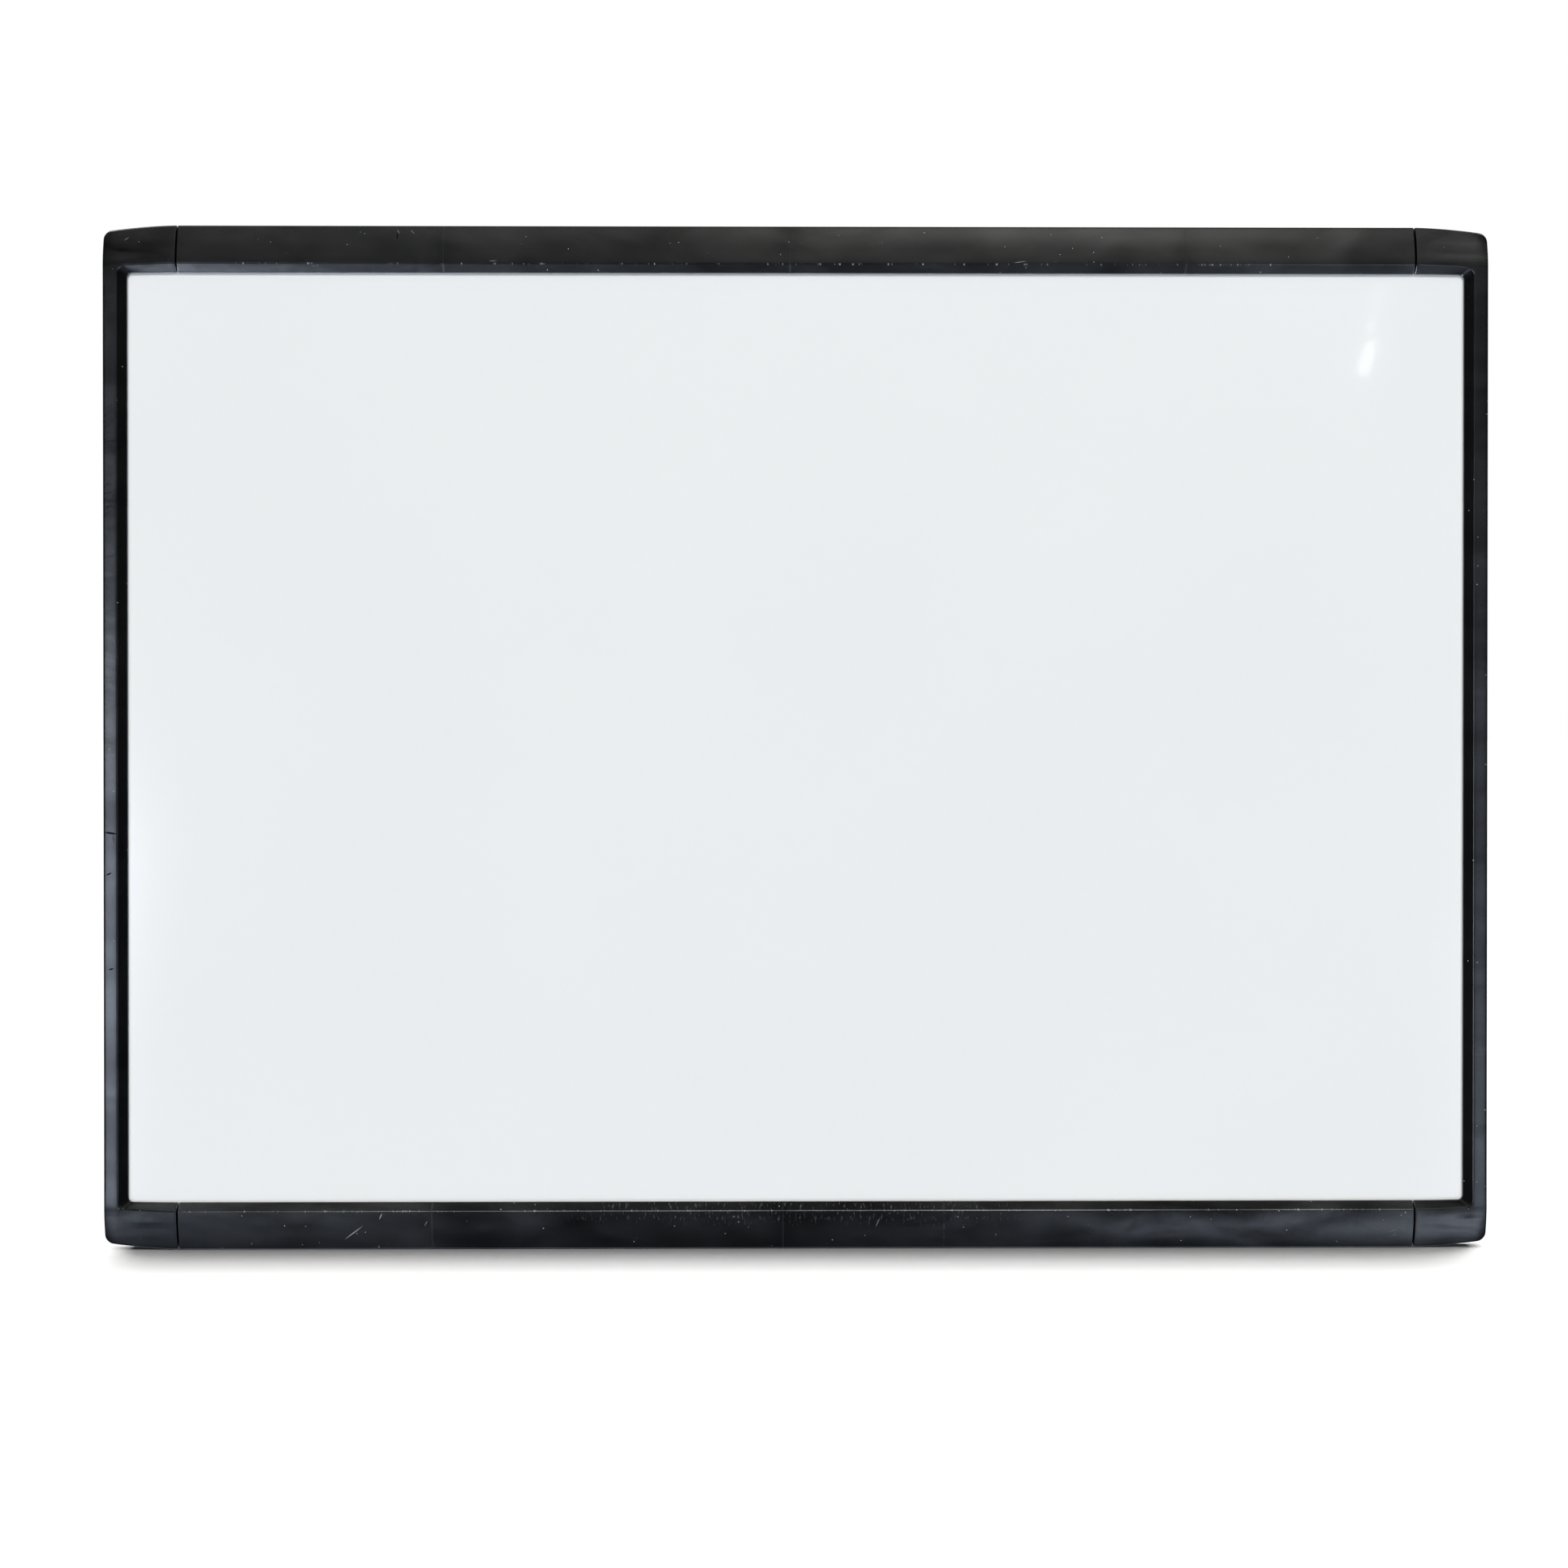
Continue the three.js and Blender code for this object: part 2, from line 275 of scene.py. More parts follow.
def channel_section(outer, inside, stop, ridge, lip, flange):
    """The channel's section at one station, as points with x and y in plan and z the depth."""
    def crown(t):
        point = ridge.lerp(outer, t)
        return at_depth(point, face_depth(point))

    face_width = (outer - ridge).length
    crown_start = RIDGE_ROUNDING / face_width
    crown_end = 1 - OUTER_ROUNDING / face_width
    back_corner = at_depth(outer, 0)
    flange_back = at_depth(flange, 0)
    flange_front = at_depth(flange, FLANGE_THICKNESS)
    channel_corner = at_depth(inside, FLANGE_THICKNESS)
    stop_back = at_depth(stop, LIP_BACK)
    lip_back = at_depth(lip, LIP_BACK)
    lip_front = at_depth(lip, LIP_FRONT)
    section = fillet(crown(1), back_corner, flange_back, BACK_ROUNDING)
    section += fillet(back_corner, flange_back, flange_front, FLANGE_ROUNDING)
    section += fillet(flange_back, flange_front, channel_corner, FLANGE_ROUNDING)
    section.append(channel_corner)
    inner_steps = CROWN_STEPS // 4
    for i in range(inner_steps + 1):
        point = inside.lerp(stop, i / inner_steps)
        section.append(at_depth(point, face_depth(point) - WALL))
    section.append(stop_back)
    section += fillet(stop_back, lip_back, lip_front, LIP_ROUNDING)
    section += fillet(lip_back, lip_front, crown(0), LIP_ROUNDING)
    section += fillet(lip_front, crown(0), crown(crown_start), RIDGE_ROUNDING)
    for i in range(1, CROWN_STEPS):
        section.append(crown(crown_start + (crown_end - crown_start) * i / CROWN_STEPS))
    section += fillet(crown(crown_end), crown(1), back_corner, OUTER_ROUNDING)
    return section


def end_stations():
    lines = [
        plan_line(outer_edge, 0, CORNER_RADIUS),
        plan_line(inside_edge, WALL, INNER_CORNER_RADIUS),
        plan_line(stop_edge, SIDE_STOP, INNER_CORNER_RADIUS),
        plan_line(ridge_edge, SIDE_FACE, RIDGE_CORNER_RADIUS),
        plan_line(lip_edge, SIDE_LIP, LIP_CORNER_RADIUS),
        plan_line(flange_edge, SIDE_FLANGE, FLANGE_CORNER_RADIUS),
    ]
    return [channel_section(*points) for points in zip(*lines)]


def drawn_in(section, distance):
    """A section made smaller all round, for the rounded rim of a cut end."""
    count = len(section)
    area = 0
    for i, point in enumerate(section):
        after = section[(i + 1) % count]
        area += point.y * after.z - after.y * point.z
    side = 1 if area > 0 else -1
    smaller = []
    for i, point in enumerate(section):
        run = section[(i + 1) % count] - section[i - 1]
        inward = Vector((0, -run.z * side, run.y * side)).normalized()
        smaller.append(point + inward * distance)
    return smaller


def rounded_end(section, inward):
    """Rings that round the rim of a cut end, from the end face to the full section."""
    rings = []
    for i in range(FILLET_STEPS + 1):
        angle = math.pi / 2 * i / FILLET_STEPS
        ring = drawn_in(section, SEAM_ROUNDING * (1 - math.sin(angle)))
        shift = Vector((inward * SEAM_ROUNDING * (1 - math.cos(angle)), 0, 0))
        rings.append([point + shift for point in ring])
    return rings


# Making and finishing meshes

def skin_over_rings(name, rings):
    """A closed skin over rings of world points, with a flat face on the first ring and the last."""
    shape = bmesh.new()
    rows = [[shape.verts.new(point) for point in ring] for ring in rings]
    count = len(rows[0])
    for row, after in zip(rows, rows[1:]):
        for i in range(count):
            j = (i + 1) % count
            shape.faces.new((row[i], row[j], after[j], after[i]))
    shape.faces.new(reversed(rows[0]))
    shape.faces.new(rows[-1])
    bmesh.ops.recalc_face_normals(shape, faces=shape.faces)
    mesh = bpy.data.meshes.new(name)
    shape.to_mesh(mesh)
    shape.free()
    return mesh


def around_axis(radius, y, i):
    """Point i of a ring about Y, in metres, from a radius and a y in millimetres."""
    angle = 2 * math.pi * i / ROUND_STEPS
    return Vector((radius * math.cos(angle), y, radius * math.sin(angle))) * MM


def ring_about_axis(radius, y):
    return [around_axis(radius, y, i) for i in range(ROUND_STEPS)]


def turned(name, profile):
    """A solid of revolution about Y from (radius, y) points in millimetres, both ends on the axis."""
    return skin_over_rings(name, [ring_about_axis(radius, y) for radius, y in profile])


def new_object(name, mesh):
    made = bpy.data.objects.new(name, mesh)
    bpy.context.scene.collection.objects.link(made)
    return made


def cut_with(target, cutters):
    """Cuts solids out of an object, then clears them away."""
    for cutter in cutters:
        cut = target.modifiers.new("cut", "BOOLEAN")
        cut.operation = "DIFFERENCE"
        cut.solver = "EXACT"
        cut.object = cutter
    bake_modifiers(target)
    for cutter in cutters:
        bpy.data.objects.remove(cutter)


def bake_modifiers(target):
    bpy.context.view_layer.update()
    evaluated = target.evaluated_get(bpy.context.evaluated_depsgraph_get())
    baked = bpy.data.meshes.new_from_object(evaluated)
    baked.name = target.data.name
    target.modifiers.clear()
    target.data = baked


def shade(target, sharp_degrees):
    """Smooth shading that keeps the corners sharp and the large faces flat."""
    mesh = target.data
    mesh.shade_smooth()
    mesh.set_sharp_from_angle(angle=math.radians(sharp_degrees))
    weighted = target.modifiers.new("face_weights", "WEIGHTED_NORMAL")
    weighted.keep_sharp = True
    bake_modifiers(target)


# Holes in the back flange

def slot_outline(length, radius):
    """A slot with round ends, from the origin along +X, as (x, z) points."""
    points = []
    half = ROUND_STEPS // 2
    for i in range(half + 1):
        angle = math.pi / 2 + math.pi * i / half
        points.append((radius * math.cos(angle), radius * math.sin(angle)))
    for i in range(half + 1):
        angle = -math.pi / 2 + math.pi * i / half
        points.append((length + radius * math.cos(angle), radius * math.sin(angle)))
    return points


def slot_cutter(name, length, width, turn, centre):
    """A cutter for a hole through the flange, flared where it meets the back face."""
    outside = 1
    steps = (
        (-outside, outside + HOLE_CHAMFER),
        (HOLE_CHAMFER, 0),
        (2 * FLANGE_THICKNESS, 0),
    )
    rings = []
    for depth, flare in steps:
        outline = slot_outline(length, width / 2 + flare)
        rings.append([Vector((x, -depth, z)) * MM for x, z in outline])
    cutter = new_object(name, skin_over_rings(name, rings))
    cutter.matrix_world = Matrix.Translation(centre) @ Matrix.Rotation(turn, 4, "Y")
    return cutter


def keyhole_cutters(centre, along_x, along_z):
    """A round entry with one slot towards the top or bottom edge and one towards the side."""
    sideways = math.pi if along_x > 0 else 0
    upwards = -math.pi / 2 if along_z > 0 else math.pi / 2
    no_travel = 0.001
    return [
        slot_cutter("entry_cutter", no_travel, KEYHOLE_ENTRY, 0, centre),
        slot_cutter("side_slot_cutter", KEYHOLE_TRAVEL, KEYHOLE_SLOT, sideways, centre),
        slot_cutter("up_slot_cutter", KEYHOLE_TRAVEL, KEYHOLE_SLOT, upwards, centre),
    ]


def screw_hole_cutter(centre):
    bore = SCREW_DIAMETER / 2 + SCREW_CLEARANCE
    mouth = SCREW_HEAD_DIAMETER / 2 + SCREW_CLEARANCE
    profile = [
        (0, -2 * FLANGE_THICKNESS),
        (bore, -2 * FLANGE_THICKNESS),
        (bore, -SCREW_HEAD_HEIGHT - SCREW_CLEARANCE),
        (mouth, -SCREW_HEAD_SINK),
        (mouth, SCREW_CLEARANCE),
        (0, SCREW_CLEARANCE),
    ]
    cutter = new_object("screw_hole_cutter", turned("screw_hole_cutter", profile))
    cutter.location = centre
    return cutter


def frame_back_point(marker):
    """The point on the frame's back face behind a packed screw."""
    low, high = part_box(marker)
    return Vector(((low.x + high.x) / 2, FRAME_BACK, (low.z + high.z) / 2))


# The pieces

def finish_piece(piece, node, material):
    piece.data.materials.clear()
    piece.data.materials.append(material)
    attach(piece, "root")
    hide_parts(node)


def make_end(side, along_x, material):
    """A C-shaped end moulding, with its two screw holes and two keyholes."""
    name = f"{side}_end_moulding"
    stations = end_stations()
    rings = rounded_end(stations[0], -1) + stations[1:]
    top = [[from_top_left(*point) for point in ring] for ring in rings]
    bottom = [[mirrored(point, 1, -1) for point in ring] for ring in reversed(top)]
    skin = top + bottom
    if along_x < 0:
        skin = [[mirrored(point, -1, 1) for point in ring] for ring in skin]
    moulding = new_object(name, skin_over_rings(name, skin))
    cutters = []
    for end, along_z in (("top", 1), ("bottom", -1)):
        cutters.append(screw_hole_cutter(frame_back_point(f"end_screw_{end}_{side}")))
        hanger = mirrored(from_top_left(KEYHOLE_FROM_SIDE, KEYHOLE_FROM_TOP, 0), along_x, along_z)
        cutters += keyhole_cutters(hanger, along_x, along_z)
    cut_with(moulding, cutters)
    shade(moulding, MOULDING_SHARP)
    finish_piece(moulding, f"{side}_end_frame", material)
    return moulding


def make_rail(end, along_z, material):
    """A straight rail, with a screw hole near each end."""
    name = f"{end}_rail_moulding"
    section = end_stations()[0]
    half = (RAIL_HIGH.x - RAIL_LOW.x) / 2 / MM
    middle = -BOARD_LEFT / MM
    near = [Vector((middle - half, point.y, point.z)) for point in section]
    far = [Vector((middle + half, point.y, point.z)) for point in section]
    rings = rounded_end(near, 1) + list(reversed(rounded_end(far, -1)))
    skin = [[mirrored(from_top_left(*point), 1, along_z) for point in ring] for ring in rings]
    moulding = new_object(name, skin_over_rings(name, skin))
    cutters = []
    for side in ("left", "right"):
        cutters.append(screw_hole_cutter(frame_back_point(f"rail_screw_{end}_{side}")))
    cut_with(moulding, cutters)
    shade(moulding, MOULDING_SHARP)
    finish_piece(moulding, f"{end}_rail", material)
    return moulding


def threaded_shank(name):
    """A screw without its recess: a pointed, threaded shank under a countersunk head."""
    core = SCREW_DIAMETER / 2 - THREAD_DEPTH
    head = SCREW_HEAD_DIAMETER / 2
    head_bottom = -SCREW_HEAD_HEIGHT
    steps_per_turn = 10
    least_radius = 0.05
    rings = []
    y = -SCREW_LENGTH
    while y < head_bottom:
        ring = []
        point_share = min((y + SCREW_LENGTH) / SCREW_POINT, 1)
        for i in range(ROUND_STEPS):
            phase = (y / THREAD_PITCH - i / ROUND_STEPS) % 1
            crest = max(1 - abs(phase - 0.5) * 4, 0)
            radius = max((core + THREAD_DEPTH * crest) * point_share, least_radius)
            ring.append(around_axis(radius, y, i))
        rings.append(ring)
        y += THREAD_PITCH / steps_per_turn
    # The cone under the head, its rounded rim and its flat face, as radius and height
    head_profile = (
        (core, head_bottom),
        (SCREW_DIAMETER / 2, head_bottom + 0.1),
        (head - 0.12, -0.2),
        (head, -0.1),
        (head - 0.04, -0.02),
        (head - 0.15, 0),
        (least_radius, 0),
    )
    rings += [ring_about_axis(radius, height) for radius, height in head_profile]
    return skin_over_rings(name, rings)


def recess_cutter(turn):
    """One bar of the cross recess, tapered towards its bottom."""
    above_head = 0.2
    # Depth below the head's face, and the share of the bar's full span and width there
    taper = (
        (-above_head, 1.08),
        (RECESS_DEPTH * 0.75, 0.8),
        (RECESS_DEPTH, 0.35),
    )
    rings = []
    for depth, share in taper:
        half_span = RECESS_SPAN / 2 * share
        half_width = RECESS_WIDTH / 2 * share
        corners = (
            (-half_span, -half_width),
            (half_span, -half_width),
            (half_span, half_width),
            (-half_span, half_width),
        )
        rings.append([Vector((x, -depth, z)) * MM for x, z in corners])
    cutter = new_object("recess_cutter", skin_over_rings("recess_cutter", rings))
    cutter.matrix_world = Matrix.Rotation(turn, 4, "Y")
    return cutter


def make_screw(node, material):
    name = node.replace("screw", "cross_head_screw")
    screw = new_object(name, threaded_shank(name))
    cut_with(screw, [recess_cutter(0), recess_cutter(math.pi / 2)])
    seat = frame_back_point(node) - Vector((0, SCREW_HEAD_SINK * MM, 0))
    screw.data.transform(Matrix.Translation(seat))
    shade(screw, SCREW_SHARP)
    finish_piece(screw, node, material)


def make_bumper(node, name, material):
    """A low domed rubber bumper with a rounded rim, stuck to the frame's back."""
    low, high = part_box(node)
    radius = BUMPER_DIAMETER / 2
    dome_radius = radius - BUMPER_RIM
    rim_bottom = BUMPER_THICKNESS - BUMPER_RIM - BUMPER_CROWN
    rim_steps = FILLET_STEPS * 2
    # The foot, with a small round where it meets the frame, then the rim and the dome
    profile = [(0, 0), (radius - 0.15, 0), (radius - 0.03, 0.08), (radius, 0.2)]
    for i in range(rim_steps + 1):
        angle = math.pi / 2 * i / rim_steps
        profile.append((
            dome_radius + BUMPER_RIM * math.cos(angle),
            rim_bottom + BUMPER_RIM * math.sin(angle),
        ))
    for share in (0.75, 0.5, 0.25, 0):
        profile.append((dome_radius * share, BUMPER_THICKNESS - BUMPER_CROWN * share**2))
    bumper = new_object(name, turned(name, profile))
    centre = Vector(((low.x + high.x) / 2, low.y, (low.z + high.z) / 2))
    bumper.data.transform(Matrix.Translation(centre))
    shade(bumper, BUMPER_SHARP)
    finish_piece(bumper, node, material)


# Materials

class Recipe:
    """The nodes of one material or of the world, added and joined one at a time."""

    def __init__(self, tree):
        self.tree = tree
        tree.nodes.clear()

    def node(self, kind, inputs=None, **settings):
        made = self.tree.nodes.new("ShaderNode" + kind)
        for key, value in settings.items():
            setattr(made, key, value)
        for key, value in (inputs or {}).items():
            self.put(made.inputs[key], value)
        return made

    def put(self, socket, value):
        if isinstance(value, bpy.types.NodeSocket):
            self.tree.links.new(value, socket)
        else:
            socket.default_value = value

    def math(self, operation, first, second=0.0, clamp=False):
        made = self.node("Math", {0: first, 1: second}, operation=operation, use_clamp=clamp)
        return made.outputs[0]

    def ramp(self, value, low, high, to_low=0.0, to_high=1.0, smooth=False):
        kind = "SMOOTHSTEP" if smooth else "LINEAR"
        inputs = {0: value, 1: low, 2: high, 3: to_low, 4: to_high}
        return self.node("MapRange", inputs, interpolation_type=kind).outputs[0]

    def mean(self, factor, first, second):
        return self.node("Mix", {0: factor, 2: first, 3: second}, data_type="FLOAT").outputs[0]

    def blend(self, factor, first, second):
        return self.node("Mix", {0: factor, 6: first, 7: second}, data_type="RGBA").outputs[2]

    def profile(self, height, brightness):
        """A value looked up by height above the horizon, from {degrees: value}."""
        node = self.node("ValToRGB", {0: height})
        stops = node.color_ramp.elements
        for i, (degrees, value) in enumerate(sorted(brightness.items())):
            place = (math.sin(math.radians(degrees)) + 1) / 2
            stop = stops[i] if i < 2 else stops.new(place)
            stop.position = place
            stop.color = (value, value, value, 1)
        return node.outputs[0]

    def stretch(self, place, x, y, z):
        return self.node("VectorMath", {0: place, 1: (x, y, z)}, operation="MULTIPLY").outputs[0]

    def noise(self, place, scale, detail=2.0, roughness=0.5, distortion=0.0):
        inputs = {
            "Vector": place,
            "Scale": scale,
            "Detail": detail,
            "Roughness": roughness,
            "Distortion": distortion,
        }
        return self.node("TexNoise", inputs).outputs[0]

    def cells(self, place, scale):
        return self.node("TexVoronoi", {"Vector": place, "Scale": scale})

    def bump(self, height, strength, distance, onto=None):
        inputs = {"Height": height, "Strength": strength, "Distance": distance}
        if onto is not None:
            inputs["Normal"] = onto
        return self.node("Bump", inputs).outputs[0]


def new_recipe(name):
    material = bpy.data.materials.new(name)
    material.use_nodes = True
    recipe = Recipe(material.node_tree)
    place = recipe.node("TexCoord").outputs["Object"]
    return material, recipe, place


def surface(recipe, inputs):
    shader = recipe.node("BsdfPrincipled", inputs)
    recipe.node("OutputMaterial", {"Surface": shader.outputs[0]})


def band_across(recipe, across, middle, half_width):
    """One at a line across the board, falling softly to nothing on both sides."""
    offset = recipe.math("ABSOLUTE", recipe.math("SUBTRACT", across, middle))
    return recipe.ramp(offset, 0, half_width, 1, 0, True)


def streak(recipe, place, x, z, turn, half_length, half_width, solid):
    """One inside a long thin ellipse on the face, given in millimetres and degrees from level."""
    inputs = {
        "Vector": place,
        "Location": Vector((x, 0, z)) * MM,
        "Rotation": (0, -math.radians(turn), 0),
        "Scale": (half_length * MM, 1000, half_width * MM),
    }
    local = recipe.node("Mapping", inputs, vector_type="TEXTURE").outputs[0]
    away = recipe.node("VectorMath", {0: local}, operation="LENGTH").outputs[1]
    return recipe.ramp(away, solid, 1.0, 1, 0)


def all_streaks(recipe, place, rows, solid):
    """Creases or smudges together."""
    total = 0.0
    for x, z, turn, half_length, half_width in rows:
        mark = streak(recipe, place, x, z, turn, half_length, half_width, solid)
        total = recipe.math("ADD", total, mark, True)
    return total


def all_scratches(recipe, place):
    total = 0.0
    for x, z, turn, half_length, strength in SCRATCHES:
        mark = streak(recipe, place, x, z, turn, half_length, SCRATCH_HALF_WIDTH, HARD_EDGED)
        mark = recipe.math("MULTIPLY", mark, strength)
        total = recipe.math("ADD", total, mark, True)
    return total


def all_knit_lines(recipe, across, on_top):
    """The knit lines, and the wider flanks on both sides of them, each on its own rail."""
    lines = 0.0
    flanks = 0.0
    for x, rail, strength in KNIT_LINES:
        here = on_top if rail == "top" else recipe.math("SUBTRACT", 1.0, on_top)
        line = band_across(recipe, across, x * MM, KNIT_LINE_REACH * MM)
        line = recipe.math("MULTIPLY", line, here)
        line = recipe.math("MULTIPLY", line, strength)
        flank = band_across(recipe, across, x * MM, KNIT_FLANK_REACH * MM)
        flank = recipe.math("MULTIPLY", flank, here)
        lines = recipe.math("ADD", lines, line)
        flanks = recipe.math("ADD", flanks, flank)
    return lines, flanks


def dust(recipe, place, scale, size, share):
    """Small round specks in some of the cells."""
    cells = recipe.cells(place, scale)
    near_centre = recipe.ramp(cells.outputs["Distance"], size * 0.4, size, 1, 0)
    chosen = recipe.node("SeparateColor", {0: cells.outputs["Color"]}).outputs[0]
    return recipe.math("MULTIPLY", near_centre, recipe.math("LESS_THAN", chosen, share))


def ridge_nicks_and_highlight(recipe, place, to_ridge, along_rail, in_front):
    """Small pale nicks along the rails' ridges: partly worn plastic, partly a painted highlight where
    the ridge catches the light.
    """
    on_ridge = recipe.ramp(recipe.math("ABSOLUTE", to_ridge), 0.15 * MM, 0.5 * MM, 1, 0)
    nick_and_highlight_spots = recipe.ramp(recipe.noise(recipe.stretch(place, 1, 0, 0.1), 620, 3, 0.7), 0.60, 0.70)
    nicks_and_highlight = recipe.math("MULTIPLY", recipe.math("MULTIPLY", on_ridge, along_rail), nick_and_highlight_spots)
    return recipe.math("MULTIPLY", nicks_and_highlight, in_front)


def rubbed_lines(recipe, place, to_ridge, handled, in_front):
    """Fine rubbed lines next to the ridge, where the bottom rail is handled."""
    below_ridge = recipe.ramp(to_ridge, 1 * MM, 9 * MM, 1, 0, True)
    brushed = recipe.ramp(recipe.noise(recipe.stretch(place, 1, 0, 0.35), 1100, 3, 0.6), 0.58, 0.70)
    rubbed = recipe.math("MULTIPLY", recipe.math("MULTIPLY", brushed, below_ridge), handled)
    return recipe.math("MULTIPLY", rubbed, in_front)


def arm_bands(recipe, place, from_centre, to_ridge, in_front):
    """Uneven bands on the arms of the end mouldings, mostly darker."""
    arm_start = 0.262
    arm_full = 0.274
    on_arm = recipe.math("MULTIPLY", recipe.ramp(from_centre, arm_start, arm_full), in_front)
    on_arm = recipe.math("MULTIPLY", on_arm, recipe.ramp(to_ridge, -4 * MM, 0, 0, 1, True))
    ripples = recipe.noise(recipe.stretch(place, 0.3, 1, 2.4), 58, 2, 0.5, 0.5)
    return recipe.math("MULTIPLY", on_arm, recipe.ramp(ripples, 0.38, 0.62, -0.28, 0.14))


def black_plastic():
    """Moulded black plastic: satin grain, flow clouds, knit lines, creases, scratches and dust."""
    material, recipe, place = new_recipe("black_plastic")
    split = recipe.node("SeparateXYZ", {0: place})
    across, back, up = split.outputs[0], split.outputs[1], split.outputs[2]
    rail_end = 0.26
    ridge_from_middle = (BOARD_TOP - BOARD_MIDDLE.z) - RAIL_FACE * MM
    from_centre = recipe.math("ABSOLUTE", across)
    from_middle = recipe.math("ABSOLUTE", recipe.math("SUBTRACT", up, BOARD_MIDDLE.z))
    to_ridge = recipe.math("SUBTRACT", from_middle, ridge_from_middle)
    in_front = recipe.math("LESS_THAN", back, FRAME_BACK - LIP_BACK * MM)
    on_top = recipe.math("GREATER_THAN", up, BOARD_MIDDLE.z)
    along_rail = recipe.math("LESS_THAN", from_centre, rail_end)
    on_bottom_rail = recipe.math("SUBTRACT", along_rail, on_top, True)
    near_centre = recipe.ramp(from_centre, 0.05, 0.12, 1, 0, True)
    handled = recipe.math("SUBTRACT", near_centre, on_top, True)

    grain = recipe.noise(place, 1700, 3, 0.7)
    clouds = recipe.noise(recipe.stretch(place, 1, 2, 2), 42, 4, 0.55, 0.6)
    arcs = recipe.noise(recipe.stretch(place, 0.55, 1, 1.5), 34, 2, 0.45, 0.9)
    broad = recipe.noise(place, 9, 2)
    knit, flanks = all_knit_lines(recipe, across, on_top)
    scratches = all_scratches(recipe, place)
    creases = all_streaks(recipe, place, CREASES, HARD_EDGED)
    smudges = all_streaks(recipe, place, SMUDGES, SOFT_EDGED)
    nicks_and_highlight = ridge_nicks_and_highlight(recipe, place, to_ridge, along_rail, in_front)
    rubbed = rubbed_lines(recipe, place, to_ridge, handled, in_front)
    coarse_dust = dust(recipe, place, 230, 0.052, recipe.ramp(handled, 0, 1, 0.09, 0.42))
    fine_dust = dust(recipe, place, 560, 0.12, 0.05)

    colour = recipe.blend(
        recipe.ramp(broad, 0.35, 0.65),
        (0.0026, 0.0028, 0.0031, 1),
        (0.0036, 0.0035, 0.0032, 1),
    )
    for share, mark_colour in (
        (recipe.math("MAXIMUM", coarse_dust, fine_dust), (0.75, 0.76, 0.74, 1)),
        # Pale ridge nicks: partly wear, partly a painted highlight along the ridge
        (nicks_and_highlight, (0.28, 0.28, 0.265, 1)),
        (rubbed, (0.09, 0.094, 0.096, 1)),
        (scratches, (0.42, 0.43, 0.43, 1)),
        (recipe.math("MULTIPLY", knit, 0.4, True), (0.012, 0.0125, 0.013, 1)),
    ):
        colour = recipe.blend(share, colour, mark_colour)

    roughness = recipe.ramp(clouds, 0.3, 0.7, 0.20, 0.26)
    roughness = recipe.math("ADD", roughness, recipe.math("MULTIPLY", knit, 0.08))
    flow = recipe.ramp(arcs, 0.3, 0.7, -1, 1)
    flow = recipe.math("MULTIPLY", flow, recipe.mean(on_bottom_rail, 0.15, 0.27))
    sheen = recipe.math("ADD", 0.5, flow)
    sheen = recipe.math("ADD", sheen, recipe.ramp(clouds, 0.3, 0.7, -0.07, 0.07))
    sheen = recipe.math("SUBTRACT", sheen, recipe.math("MULTIPLY", flanks, 0.09))
    sheen = recipe.math("ADD", sheen, arm_bands(recipe, place, from_centre, to_ridge, in_front))
    sheen = recipe.math("SUBTRACT", sheen, recipe.math("MULTIPLY", smudges, 0.28))
    sheen = recipe.math("SUBTRACT", sheen, recipe.math("MULTIPLY", creases, 0.5), True)
    relief = recipe.bump(grain, 0.22, 0.00006)
    relief = recipe.bump(clouds, 0.25, 0.0004, relief)
    surface(recipe, {
        "Base Color": colour,
        "Roughness": roughness,
        "Specular IOR Level": sheen,
        "IOR": 1.5,
        "Normal": relief,
    })
    return material


def white_enamel():
    """Glossy baked enamel on steel, bluish white, with the faintest orange peel."""
    material, recipe, place = new_recipe("white_enamel")
    peel = recipe.noise(place, 260, 2)
    broad = recipe.noise(place, 7, 2)
    colour = recipe.blend(
        recipe.ramp(broad, 0.35, 0.65),
        (0.797, 0.787, 0.750, 1),
        (0.808, 0.798, 0.760, 1),
    )
    roughness = recipe.ramp(recipe.noise(place, 30, 3), 0.3, 0.7, 0.04, 0.055)
    surface(recipe, {
        "Base Color": colour,
        "Roughness": roughness,
        "IOR": 1.5,
        "Normal": recipe.bump(peel, 0.05, 0.0001),
    })
    return material


def grey_fibreboard():
    """Pressed grey backing board with short fibres and a dull face."""
    material, recipe, place = new_recipe("grey_fibreboard")
    fibres = recipe.noise(recipe.stretch(place, 1, 1, 3), 900, 4, 0.65)
    mottle = recipe.noise(recipe.stretch(place, 1, 1, 1.6), 210, 5, 0.7)
    base = recipe.blend(
        recipe.ramp(mottle, 0.35, 0.65),
        (0.250, 0.250, 0.240, 1),
        (0.285, 0.285, 0.275, 1),
    )
    colour = recipe.blend(recipe.ramp(fibres, 0.58, 0.72), base, (0.16, 0.155, 0.145, 1))
    relief = recipe.bump(fibres, 0.35, 0.00012)
    surface(recipe, {"Base Color": colour, "Roughness": 0.86, "Normal": relief})
    return material


def kraft_core():
    material, recipe, place = new_recipe("kraft_core")
    plies = recipe.noise(recipe.stretch(place, 1, 9, 1), 350, 4, 0.6)
    colour = recipe.blend(
        recipe.ramp(plies, 0.3, 0.7),
        (0.36, 0.25, 0.145, 1),
        (0.52, 0.385, 0.24, 1),
    )
    surface(recipe, {
        "Base Color": colour,
        "Roughness": 0.9,
        "Normal": recipe.bump(plies, 0.4, 0.0002),
    })
    return material


